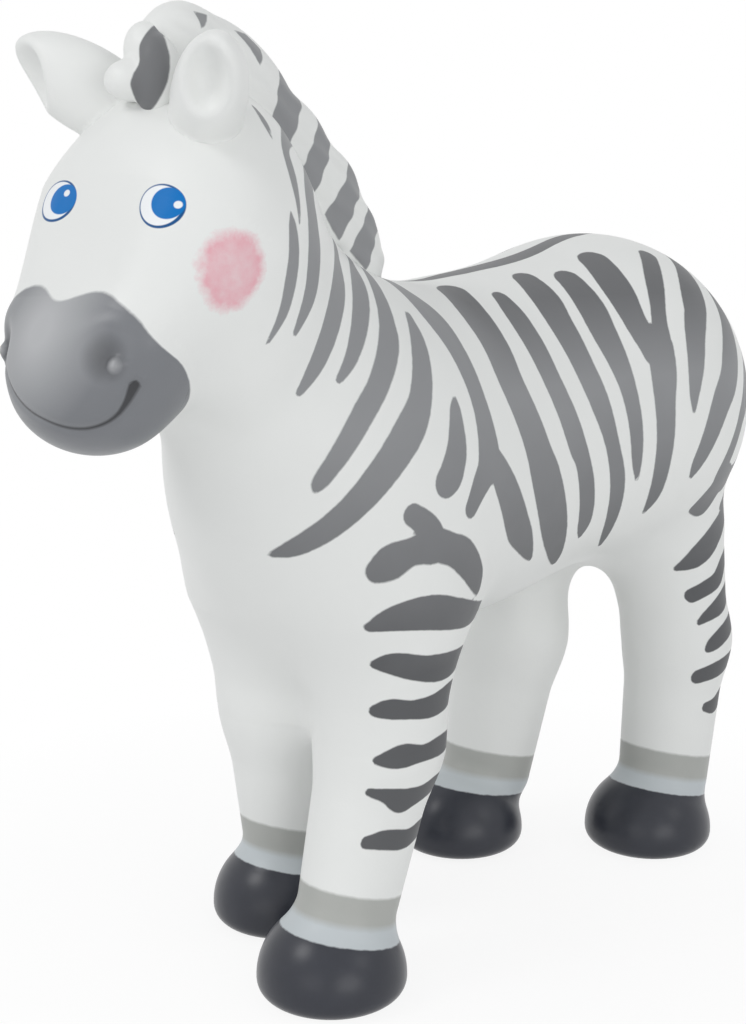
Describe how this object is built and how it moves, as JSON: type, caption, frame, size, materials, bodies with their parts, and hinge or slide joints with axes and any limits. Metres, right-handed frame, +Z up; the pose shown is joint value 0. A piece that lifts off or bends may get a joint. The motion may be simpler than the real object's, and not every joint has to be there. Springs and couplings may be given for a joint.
{
  "type": "toy zebra figure",
  "caption": "Chunky moulded toy zebra standing in a slow walk, with an upright tufted mane, short muzzle, round hooves and painted stripes.",
  "frame": {"origin": "on the ground, in the middle of the figure's width and length", "axes": "+Z up from the soles of the hooves, -Y the way the zebra faces, +X to its left side"},
  "size_m": [0.0472, 0.1212, 0.1163],
  "materials": {
    "white_vinyl": "smooth white vinyl with hand painted grey stripes, muzzle and hooves",
    "banded_vinyl": "smooth vinyl painted in grey and white bands"
  },
  "bodies": {
    "root": {"body_left": "white_vinyl", "body_right": "white_vinyl", "ear_left": "white_vinyl", "ear_right": "white_vinyl", "mane": "banded_vinyl", "forelock": "banded_vinyl", "tail": "banded_vinyl"}
  },
  "joints": []
}
